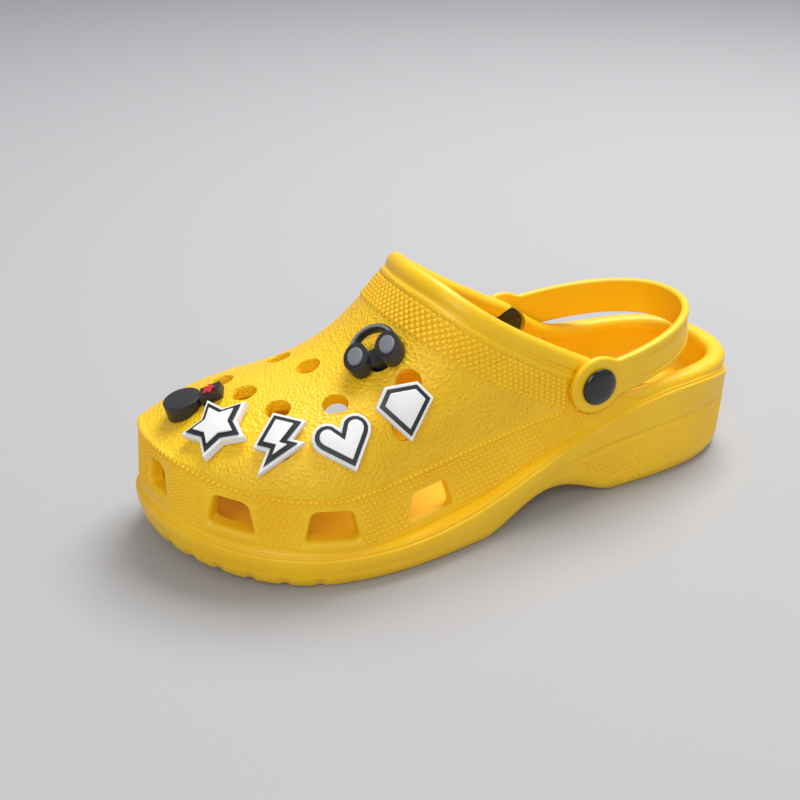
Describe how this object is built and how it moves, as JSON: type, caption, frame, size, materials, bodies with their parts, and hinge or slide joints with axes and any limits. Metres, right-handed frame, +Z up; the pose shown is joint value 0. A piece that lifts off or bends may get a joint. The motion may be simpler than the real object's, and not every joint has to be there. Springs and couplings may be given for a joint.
{
  "type": "garden clog",
  "caption": "Moulded foam garden clog for the left foot, with vented toe box, swinging heel strap on snap rivets and plug-in charms.",
  "frame": {"origin": "on the ground, under the middle of the clog's bounding box", "axes": "+X towards the toe, +Y towards the outer side of the foot, +Z up"},
  "size_m": [0.2809, 0.1119, 0.1109],
  "materials": {
    "foam_yellow": "satin, leather-grained",
    "rivet_black": "gloss",
    "charm_white": "soft satin",
    "charm_black": "soft satin",
    "charm_grey": "soft satin",
    "charm_red": "soft satin"
  },
  "bodies": {
    "clog": {"sole_unit": "foam_yellow", "upper_shell": "foam_yellow", "rivet_head_outer_side": "rivet_black", "rivet_socket_outer_side": "rivet_black", "rivet_head_inner_side": "rivet_black", "rivet_socket_inner_side": "rivet_black"},
    "strap": {"heel_strap": "foam_yellow"},
    "star_charm": {"star_charm_base": "charm_white", "star_charm_inlay": "charm_black", "star_charm_face": "charm_white"},
    "bolt_charm": {"bolt_charm_base": "charm_white", "bolt_charm_inlay": "charm_black", "bolt_charm_face": "charm_white"},
    "heart_charm": {"heart_charm_base": "charm_white", "heart_charm_inlay": "charm_black", "heart_charm_face": "charm_white"},
    "gem_charm": {"gem_charm_base": "charm_white", "gem_charm_inlay": "charm_black", "gem_charm_face": "charm_white"},
    "headphone_charm": {"headphone_charm_body": "charm_black", "headphone_charm_pad_left": "charm_grey", "headphone_charm_pad_right": "charm_grey", "headphone_charm_yoke": "charm_grey"},
    "puck_charm": {"puck_charm_body": "charm_black", "puck_charm_tab": "charm_black", "puck_charm_flower": "charm_red"}
  },
  "joints": [
    {"name": "strap_swing", "type": "hinge", "parent": "clog", "child": "strap", "pos_m": [-0.045, 0, 0.0575], "axis": [0, 1, 0], "range_deg": [-3, 85]},
    {"name": "star_charm_turn", "type": "hinge", "parent": "clog", "child": "star_charm", "pos_m": [0.1127, 0.0117, 0.05957], "axis": [0.4514, 0.1983, 0.87], "range_deg": [-10, 10]},
    {"name": "bolt_charm_turn", "type": "hinge", "parent": "clog", "child": "bolt_charm", "pos_m": [0.0962, 0.0328, 0.05819], "axis": [0.328, 0.5474, 0.7699], "range_deg": [-10, 10]},
    {"name": "heart_charm_turn", "type": "hinge", "parent": "clog", "child": "heart_charm", "pos_m": [0.0732, 0.0422, 0.0583], "axis": [0.2183, 0.6824, 0.6976], "range_deg": [-10, 10]},
    {"name": "gem_charm_turn", "type": "hinge", "parent": "clog", "child": "gem_charm", "pos_m": [0.0478, 0.0426, 0.06714], "axis": [0.2345, 0.8225, 0.5182], "range_deg": [-10, 10]},
    {"name": "headphone_charm_turn", "type": "hinge", "parent": "clog", "child": "headphone_charm", "pos_m": [0.0481, 0.0204, 0.08087], "axis": [0.5768, 0.232, 0.7833], "range_deg": [-10, 10]},
    {"name": "puck_charm_turn", "type": "hinge", "parent": "clog", "child": "puck_charm", "pos_m": [0.1167, -0.0129, 0.05944], "axis": [0.4576, -0.0324, 0.8886], "range_deg": [-10, 10]}
  ]
}
